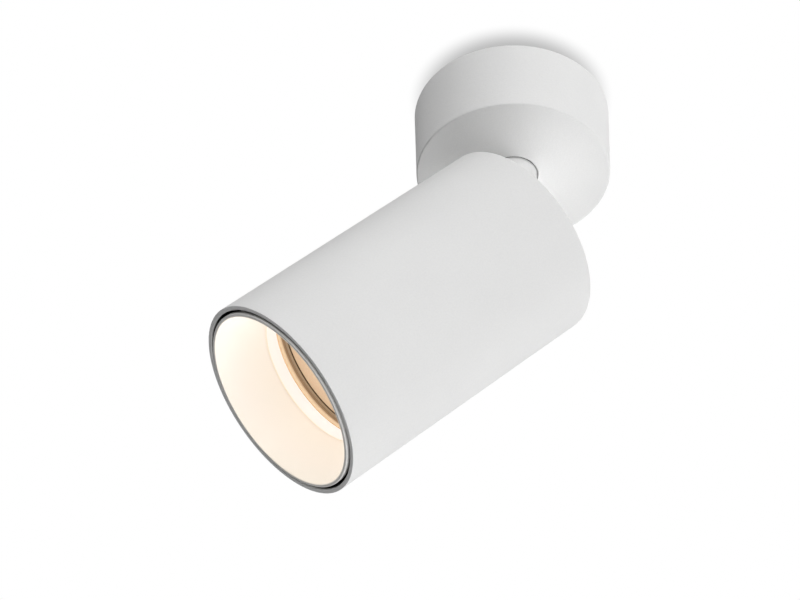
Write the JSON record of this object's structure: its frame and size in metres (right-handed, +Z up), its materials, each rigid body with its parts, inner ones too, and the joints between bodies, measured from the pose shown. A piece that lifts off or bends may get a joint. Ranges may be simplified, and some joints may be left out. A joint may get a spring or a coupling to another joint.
{
  "type": "ceiling spotlight",
  "caption": "White surface mounted ceiling spotlight: round canopy, short panning neck and a tilting cylindrical head with a recessed pin-base lamp behind a white reflector cone.",
  "frame": {"origin": "centre of the canopy's ceiling face, on the pan axis", "axes": "+Z up, into the ceiling, along the pan axis; the head leans toward -X as it rests; the tilt axis is parallel to Y"},
  "size_m": [0.1181, 0.06, 0.1407],
  "materials": {
    "white_coat": "matte",
    "zinc_steel": "satin",
    "steel_screws": "satin",
    "spring_steel": "polished",
    "tinned_brass": "satin",
    "strip_plastic": "satin",
    "black_nylon": "matte",
    "white_nylon": "matte",
    "ceramic_body": "matte",
    "lead_brown": "satin",
    "lead_blue": "satin",
    "lead_earth": "satin",
    "lead_sleeve": "matte",
    "lamp_shell": "satin",
    "lamp_rim": "satin",
    "lamp_face": "satin",
    "reflector_white": "matte"
  },
  "bodies": {
    "canopy": {"ceiling_bracket": "zinc_steel", "cable_bushing": "black_nylon", "canopy_shell": "white_coat", "canopy_grub_screw": "steel_screws", "terminal_block": "strip_plastic", "terminal_barrels": "tinned_brass", "terminal_screws": "steel_screws", "terminal_fixing_screws": "steel_screws", "earth_screw": "steel_screws", "earth_tag": "tinned_brass", "earth_link_lead": "lead_earth", "canopy_lead_live": "lead_brown", "canopy_lead_neutral": "lead_blue", "canopy_lead_earth": "lead_earth", "neck_bush": "white_nylon", "pan_stop_pin": "steel_screws"},
    "swivel": {"swivel_neck": "white_coat", "neck_washer": "black_nylon", "stop_washer": "zinc_steel", "spring_washer": "spring_steel", "neck_locknut": "zinc_steel", "neck_leads": "lead_sleeve", "tilt_washers": "black_nylon", "pivot_screws": "steel_screws", "pivot_spring_washers": "spring_steel"},
    "head": {"head_tube": "white_coat", "rear_cap": "white_coat", "hinge_bracket": "zinc_steel", "hinge_bracket_screws": "steel_screws", "holder_bracket": "zinc_steel", "holder_bracket_screws": "steel_screws", "holder_screws": "steel_screws", "lampholder": "ceramic_body", "lampholder_contacts": "tinned_brass", "head_lead_live": "lead_brown", "head_lead_neutral": "lead_blue", "head_lead_earth": "lead_earth", "head_earth_tag": "tinned_brass", "head_earth_screw": "steel_screws", "seat_ring": "zinc_steel"},
    "lamp": {"lamp_body": "lamp_shell", "lamp_pins": "tinned_brass", "lamp_bezel": "lamp_rim", "lamp_lens": "lamp_face"},
    "reflector": {"reflector": "reflector_white", "reflector_clips": "spring_steel"}
  },
  "joints": [
    {"name": "pan", "type": "hinge", "parent": "canopy", "child": "swivel", "pos_m": [0, 0, -0.0252], "axis": [0, 0, 1], "range_deg": [-172, 172]},
    {"name": "tilt", "type": "hinge", "parent": "swivel", "child": "head", "pos_m": [0, 0, -0.05382], "axis": [0, 1, 0], "range_deg": [-45.8, 19.2]},
    {"name": "lamp_twist", "type": "hinge", "parent": "head", "child": "lamp", "pos_m": [0, 0, -0.05382], "axis": [-0.7169, 0, -0.6972], "range_deg": [0, 25]},
    {"name": "reflector_pull", "type": "slide", "parent": "head", "child": "reflector", "axis": [-0.7169, 0, -0.6972], "range_m": [0, 0.022]}
  ]
}
